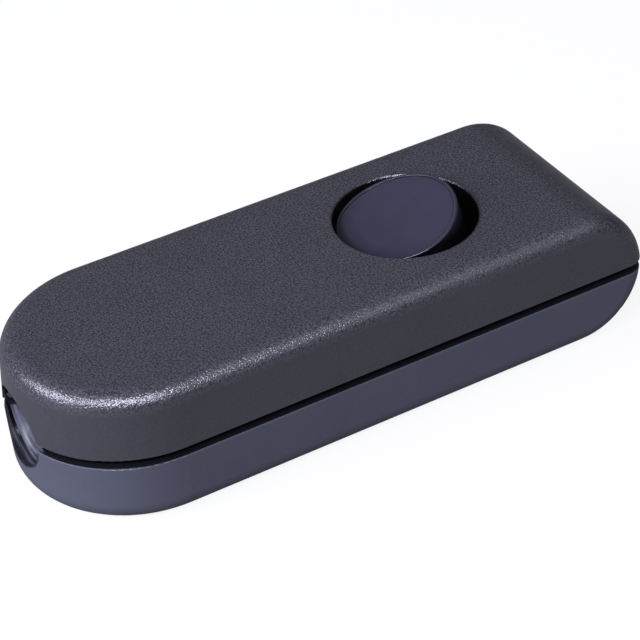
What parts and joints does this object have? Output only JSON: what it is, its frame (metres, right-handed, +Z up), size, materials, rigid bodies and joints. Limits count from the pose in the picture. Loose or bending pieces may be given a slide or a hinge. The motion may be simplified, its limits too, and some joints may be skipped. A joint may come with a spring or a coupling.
{
  "type": "inline cord switch",
  "caption": "Inline cord switch: two-part dark plastic housing with one half round nose, a parting groove, a cord entry at the nose and a round see-saw rocker in the top face.",
  "frame": {"origin": "middle of the housing's length and width, on the flat underside that it rests on", "axes": "+X along the housing from the round nose to the blunt end, +Y across it, +Z up through the top face with the rocker"},
  "size_m": [0.0639, 0.0244, 0.0165],
  "materials": {
    "shell_upper": "dark grey, finely grained",
    "shell_lower": "dark blue grey, satin",
    "rocker": "dark violet blue, smooth",
    "plunger": "natural nylon",
    "spring_steel": "drawn wire",
    "brass": "stamped strip",
    "silver": "silver contact metal",
    "steel": "zinc plated",
    "clamp": "black moulding"
  },
  "bodies": {
    "housing": {"upper_shell": "shell_upper", "lower_shell": "shell_lower", "pivot_terminal": "brass", "fixed_terminal": "brass", "fixed_contact": "silver", "through_terminal": "brass", "pivot_terminal_screw": "steel", "fixed_terminal_screw": "steel", "through_terminal_screws": "steel", "nose_clamp_bar": "clamp", "nose_clamp_screws": "steel", "end_clamp_bar": "clamp", "end_clamp_screws": "steel", "housing_screws": "steel", "housing_nuts": "steel"},
    "rocker": {"rocker_button": "rocker", "rocker_spring": "spring_steel"},
    "plunger": {"rocker_plunger": "plunger"},
    "bridge": {"contact_bridge": "brass", "moving_contact": "silver"}
  },
  "joints": [
    {"name": "rocker_tilt", "type": "hinge", "parent": "housing", "child": "rocker", "pos_m": [0.0112, 0, 0.0106], "axis": [0, 1, 0], "range_deg": [0, 28]},
    {"name": "plunger_slide", "type": "slide", "parent": "rocker", "child": "plunger", "axis": [-0.2419, 0, 0.9703], "range_m": [0, 0.0005], "stiffness_N_per_m": 300, "springref_m": -0.001, "deforming": ["rocker_spring"]},
    {"name": "contact_tilt", "type": "hinge", "parent": "housing", "child": "bridge", "pos_m": [0.0112, 0, 0.0033], "axis": [0, 1, 0], "range_deg": [-12, 0]}
  ],
  "couplings": [
    {"joint": "contact_tilt", "follows": "rocker_tilt", "ratio": -0.42857}
  ]
}
